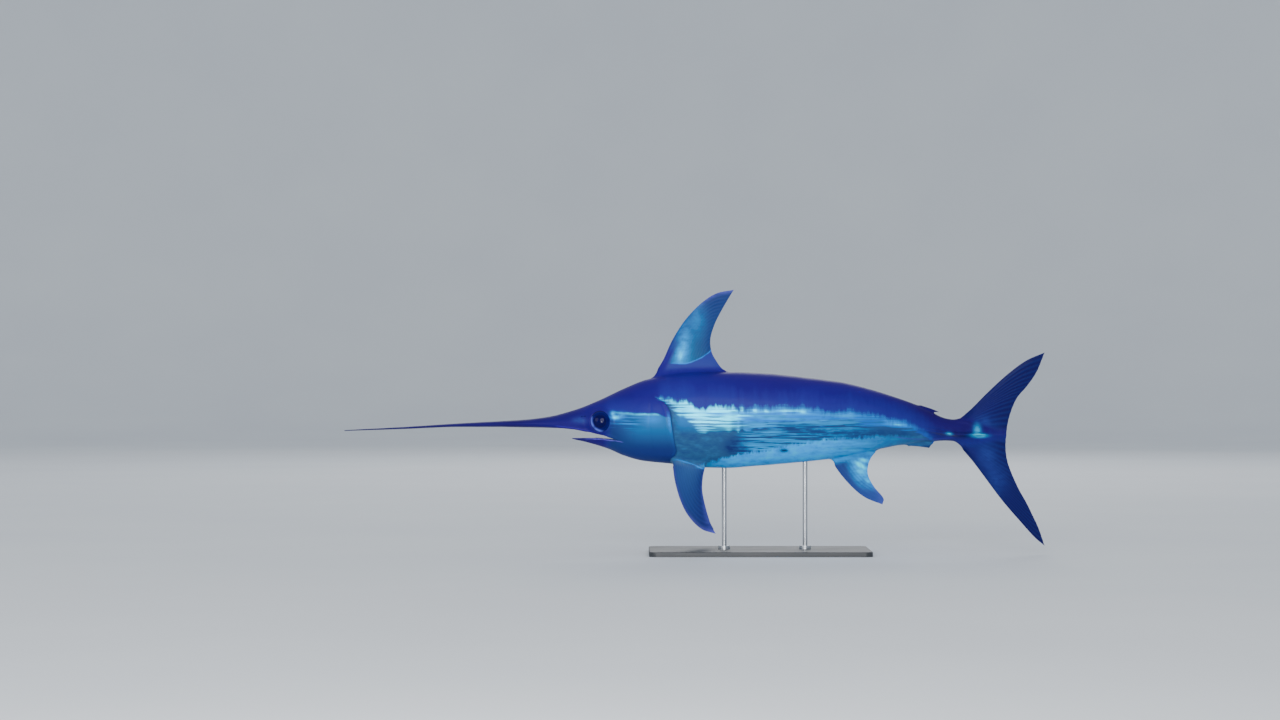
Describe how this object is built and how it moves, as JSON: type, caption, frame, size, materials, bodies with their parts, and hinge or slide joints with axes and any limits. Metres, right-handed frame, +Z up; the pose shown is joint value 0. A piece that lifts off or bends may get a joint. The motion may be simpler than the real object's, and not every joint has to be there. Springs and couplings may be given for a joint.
{
  "type": "swordfish model",
  "caption": "Still life-size swordfish, swimming level with its mouth a little open, fins spread and forked tail upright, carried by plain rods on a flat display base.",
  "frame": {"origin": "on the floor, under the middle of the overall length and on the plane of symmetry", "axes": "+X towards the tail, so the sword points along -X; +Y towards the fish's right side; +Z up"},
  "size_m": [2.6, 0.38, 0.9806],
  "materials": {
    "back_skin": "wet smooth skin, deep blue, with a faint metallic sheen",
    "flank_skin": "wet smooth skin, silver blue with bright bands and dark blotches",
    "fin_skin": "wet skin over fin rays, slate blue",
    "eye": "clear and glossy over a near black pupil",
    "stand_paint": "satin dark paint",
    "stand_steel": "brushed lengthwise"
  },
  "bodies": {
    "root": {"bill": "back_skin", "head": "flank_skin", "lower_jaw": "flank_skin", "gill_cover_left": "flank_skin", "gill_cover_right": "flank_skin", "eye_left": "eye", "eye_right": "eye", "trunk_front": "flank_skin", "trunk_middle": "flank_skin", "trunk_rear": "flank_skin", "tail_stalk": "back_skin", "tail_fin_upper": "fin_skin", "tail_fin_lower": "fin_skin", "dorsal_fin_first": "fin_skin", "dorsal_fin_second": "fin_skin", "anal_fin_first": "fin_skin", "anal_fin_second": "fin_skin", "pectoral_fin_left": "fin_skin", "pectoral_fin_right": "fin_skin", "stand_base": "stand_paint", "stand_rod_front": "stand_steel", "stand_rod_rear": "stand_steel"}
  },
  "joints": []
}
